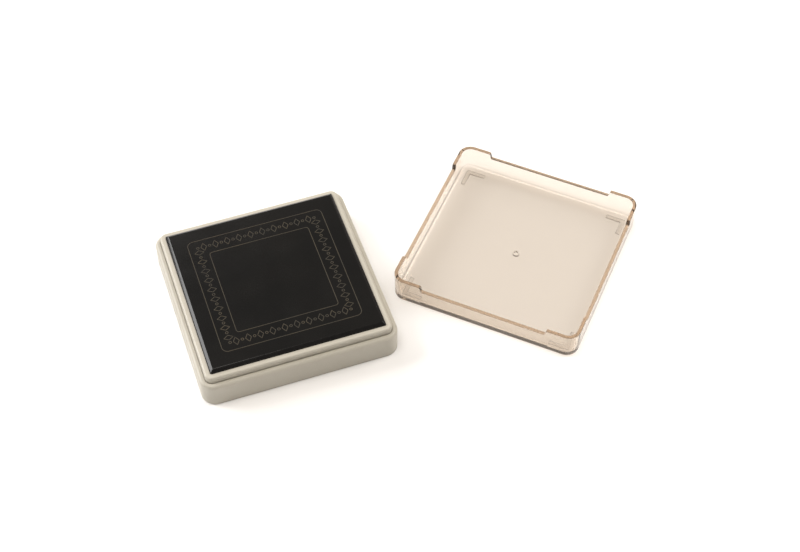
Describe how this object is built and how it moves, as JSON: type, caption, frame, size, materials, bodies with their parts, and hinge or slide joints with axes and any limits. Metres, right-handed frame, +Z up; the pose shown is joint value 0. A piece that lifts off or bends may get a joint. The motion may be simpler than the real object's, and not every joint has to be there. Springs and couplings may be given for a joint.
{
  "type": "ink pad",
  "caption": "Square pre-inked pad block: two-step base, raised black ink sheet with bevelled edges on a sprung tray, and a loose clear tinted cover lying open side up beside it.",
  "frame": {"origin": "centre of the base's flat underside, on the table", "axes": "+Z up, out of the inking face; base sides along X and Y; +X towards the cover that lies beside the base"},
  "size_m": [0.1648, 0.091, 0.0135],
  "materials": {
    "ivory_plastic": "satin moulded",
    "inner_plastic": "moulded",
    "ink_rubber": "fine microporous sheet with sealed, slightly glossy bevels",
    "ink_felt": "ink-soaked felt",
    "tray_plastic": "thin moulded",
    "foam": "closed-cell foam",
    "tape": "double-sided adhesive film",
    "smoke_clear": "clear brown-tinted, polished"
  },
  "bodies": {
    "base": {"base_shell": "ivory_plastic", "bottom_plate": "inner_plastic", "pad_frame": "ivory_plastic", "foam_tape": "tape", "cushion_foam": "foam"},
    "pad": {"ink_sheet": "ink_rubber", "ink_felt": "ink_felt", "ink_tray": "tray_plastic", "tray_tape": "tape"},
    "cover": {"cover": "smoke_clear"}
  },
  "joints": [
    {"name": "pad_press", "type": "slide", "parent": "base", "child": "pad", "axis": [0, 0, -1], "range_m": [0, 0.0004], "stiffness_N_per_m": 50000, "deforming": ["cushion_foam"]},
    {"name": "cover_lift", "type": "slide", "parent": "base", "child": "cover", "axis": [0, 0, 1], "range_m": [0, 0.04]}
  ]
}
